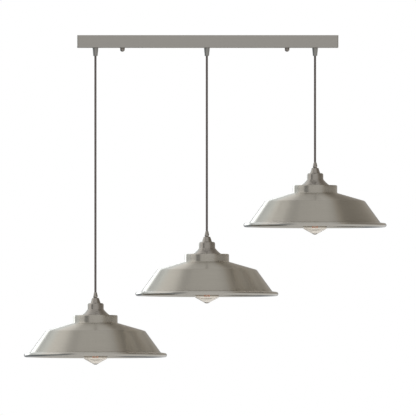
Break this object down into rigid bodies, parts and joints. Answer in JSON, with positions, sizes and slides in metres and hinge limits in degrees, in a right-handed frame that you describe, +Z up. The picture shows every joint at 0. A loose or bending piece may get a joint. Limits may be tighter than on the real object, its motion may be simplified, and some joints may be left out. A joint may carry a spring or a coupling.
{
  "type": "bar pendant light",
  "caption": "Ceiling bar with stepped metal dome shades hung at staggered heights on fabric cords, each over a pear-shaped filament bulb.",
  "frame": {"origin": "on the ceiling plane, at the top of the mounting strap, over the middle of the bar", "axes": "+X along the bar to the right as the picture shows it, -Y towards the viewer, +Z up into the ceiling"},
  "size_m": [0.9717, 0.3834, 0.8824],
  "materials": {
    "satin_nickel": "satin brushed nickel plate, fine circular or lengthwise brushing",
    "cord_fabric": "dark brown-grey braided textile over the cable",
    "zinc_steel": "bright zinc plated steel",
    "white_plastic": "moulded white polyamide",
    "black_plastic": "moulded black phenolic",
    "brass": "plain turned brass",
    "bulb_glass": "clear blown glass",
    "bulb_cap_metal": "nickel plated brass screw cap",
    "filament": "warm filament on a glass stem",
    "brown_core": "brown core insulation",
    "blue_core": "blue core insulation",
    "earth_core": "green and yellow core insulation"
  },
  "bodies": {
    "bar": {"ceiling_bar_cover": "satin_nickel", "mounting_strap": "zinc_steel", "strap_studs": "zinc_steel", "stud_locknuts": "zinc_steel", "terminal_block": "white_plastic", "terminal_inserts": "brass", "terminal_screws": "zinc_steel", "strap_screws": "zinc_steel", "grip_locknuts": "zinc_steel", "cord_tails": "cord_fabric", "live_cores": "brown_core", "neutral_cores": "blue_core", "earth_cores": "earth_core", "bar_cord_grip_left": "satin_nickel", "bar_cord_grip_middle": "satin_nickel", "bar_cord_grip_right": "satin_nickel"},
    "ball_nut_left": {"ball_nut_left": "satin_nickel"},
    "ball_nut_right": {"ball_nut_right": "satin_nickel"},
    "cord_top_left": {"cord_stub_left": "cord_fabric"},
    "pendant_left": {"cord_left": "cord_fabric", "holder_cord_grip_left": "satin_nickel", "holder_cap_left": "satin_nickel", "holder_bell_left": "satin_nickel", "lampholder_left": "black_plastic", "screw_shell_left": "brass", "centre_contact_left": "brass", "shade_ring_left": "black_plastic", "shade_left": "satin_nickel"},
    "bulb_end_left": {"bulb_contact_left": "bulb_cap_metal"},
    "bulb_left": {"bulb_glass_left": "bulb_glass", "bulb_cap_left": "bulb_cap_metal", "filament_mount_left": "filament"},
    "cord_top_middle": {"cord_stub_middle": "cord_fabric"},
    "pendant_middle": {"cord_middle": "cord_fabric", "holder_cord_grip_middle": "satin_nickel", "holder_cap_middle": "satin_nickel", "holder_bell_middle": "satin_nickel", "lampholder_middle": "black_plastic", "screw_shell_middle": "brass", "centre_contact_middle": "brass", "shade_ring_middle": "black_plastic", "shade_middle": "satin_nickel"},
    "bulb_end_middle": {"bulb_contact_middle": "bulb_cap_metal"},
    "bulb_middle": {"bulb_glass_middle": "bulb_glass", "bulb_cap_middle": "bulb_cap_metal", "filament_mount_middle": "filament"},
    "cord_top_right": {"cord_stub_right": "cord_fabric"},
    "pendant_right": {"cord_right": "cord_fabric", "holder_cord_grip_right": "satin_nickel", "holder_cap_right": "satin_nickel", "holder_bell_right": "satin_nickel", "lampholder_right": "black_plastic", "screw_shell_right": "brass", "centre_contact_right": "brass", "shade_ring_right": "black_plastic", "shade_right": "satin_nickel"},
    "bulb_end_right": {"bulb_contact_right": "bulb_cap_metal"},
    "bulb_right": {"bulb_glass_right": "bulb_glass", "bulb_cap_right": "bulb_cap_metal", "filament_mount_right": "filament"}
  },
  "joints": [
    {"name": "ball_nut_turn_left", "type": "hinge", "parent": "bar", "child": "ball_nut_left", "pos_m": [-0.2287, 0, -0.0335], "axis": [0, 0, -1], "continuous": true},
    {"name": "ball_nut_turn_right", "type": "hinge", "parent": "bar", "child": "ball_nut_right", "pos_m": [0.2124, 0, -0.0335], "axis": [0, 0, -1], "continuous": true},
    {"name": "swing_fore_aft_left", "type": "hinge", "parent": "bar", "child": "cord_top_left", "pos_m": [-0.301, 0, -0.0588], "axis": [1, 0, 0], "range_deg": [-25, 25]},
    {"name": "swing_sideways_left", "type": "hinge", "parent": "cord_top_left", "child": "pendant_left", "pos_m": [-0.301, 0, -0.0771], "axis": [0, -1, 0], "range_deg": [-20, 4]},
    {"name": "bulb_travel_left", "type": "slide", "parent": "pendant_left", "child": "bulb_end_left", "axis": [0, 0, -1], "range_m": [0, 0.0181]},
    {"name": "bulb_turn_left", "type": "hinge", "parent": "bulb_end_left", "child": "bulb_left", "pos_m": [-0.301, 0, -0.8624], "axis": [0, 0, -1], "range_deg": [0, 1800]},
    {"name": "swing_fore_aft_middle", "type": "hinge", "parent": "bar", "child": "cord_top_middle", "pos_m": [-0.0025, 0, -0.0588], "axis": [1, 0, 0], "range_deg": [-25, 25]},
    {"name": "swing_sideways_middle", "type": "hinge", "parent": "cord_top_middle", "child": "pendant_middle", "pos_m": [-0.0025, 0, -0.0771], "axis": [0, -1, 0], "range_deg": [-4, 4]},
    {"name": "bulb_travel_middle", "type": "slide", "parent": "pendant_middle", "child": "bulb_end_middle", "axis": [0, 0, -1], "range_m": [0, 0.0181]},
    {"name": "bulb_turn_middle", "type": "hinge", "parent": "bulb_end_middle", "child": "bulb_middle", "pos_m": [-0.0025, 0, -0.6984], "axis": [0, 0, -1], "range_deg": [0, 1800]},
    {"name": "swing_fore_aft_right", "type": "hinge", "parent": "bar", "child": "cord_top_right", "pos_m": [0.2873, 0, -0.0588], "axis": [1, 0, 0], "range_deg": [-25, 25]},
    {"name": "swing_sideways_right", "type": "hinge", "parent": "cord_top_right", "child": "pendant_right", "pos_m": [0.2873, 0, -0.0771], "axis": [0, -1, 0], "range_deg": [-4, 20]},
    {"name": "bulb_travel_right", "type": "slide", "parent": "pendant_right", "child": "bulb_end_right", "axis": [0, 0, -1], "range_m": [0, 0.0181]},
    {"name": "bulb_turn_right", "type": "hinge", "parent": "bulb_end_right", "child": "bulb_right", "pos_m": [0.2873, 0, -0.5141], "axis": [0, 0, -1], "range_deg": [0, 1800]}
  ],
  "couplings": [
    {"joint": "bulb_travel_left", "follows": "bulb_turn_left", "m_per_rad": 0.00057614},
    {"joint": "bulb_travel_middle", "follows": "bulb_turn_middle", "m_per_rad": 0.00057614},
    {"joint": "bulb_travel_right", "follows": "bulb_turn_right", "m_per_rad": 0.00057614}
  ]
}
